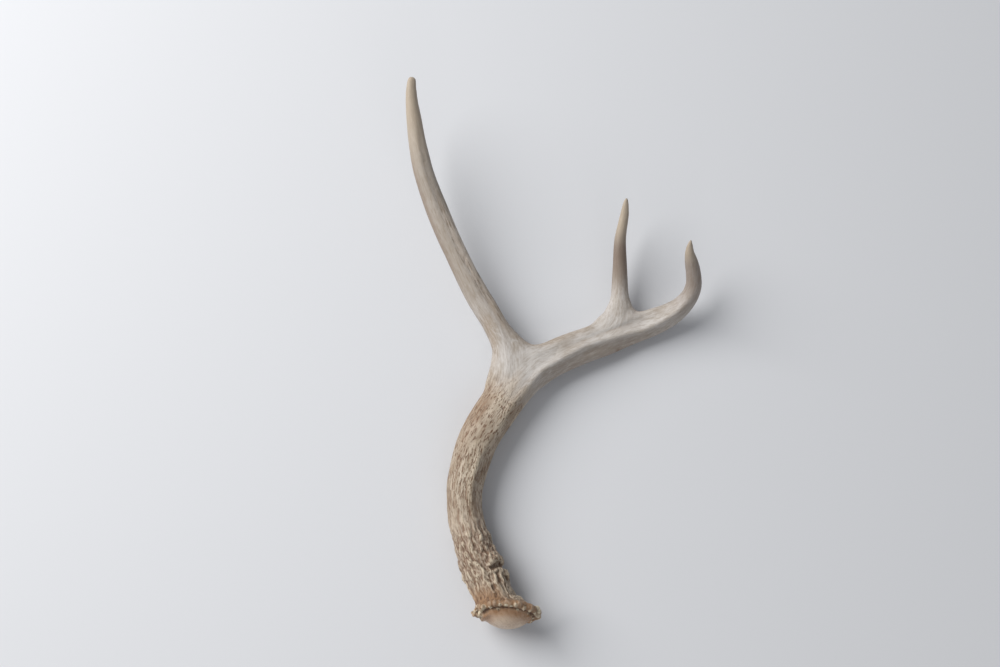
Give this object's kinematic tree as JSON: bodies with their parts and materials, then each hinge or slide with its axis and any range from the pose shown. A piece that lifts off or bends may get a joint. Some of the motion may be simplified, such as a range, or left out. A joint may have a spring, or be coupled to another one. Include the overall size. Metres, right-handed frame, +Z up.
{
  "type": "deer antler",
  "caption": "Shed deer antler lying on its outer side: beaded burr with a domed seal, curved main beam, long and short tines, beam tip hooked upwards.",
  "frame": {"origin": "on the surface it lies on, under the middle of its bounding box", "axes": "+Z up; +Y runs from the burr towards the long tine's tip; +X runs towards the beam's hooked tip"},
  "size_m": [0.2354, 0.428, 0.0733],
  "materials": {
    "beam_bone": "dry bone, matt to satin, coarse lengthwise grooves stained brown",
    "upper_bone": "dry bone, satin, grey-white and almost smooth",
    "tine_bone": "dry bone, satin, fine lengthwise streaks, polished ivory at the tips"
  },
  "bodies": {
    "root": {"lower_beam": "beam_bone", "long_tine": "tine_bone", "upper_beam": "upper_bone", "short_tine": "tine_bone", "beam_tip": "tine_bone"}
  },
  "joints": []
}
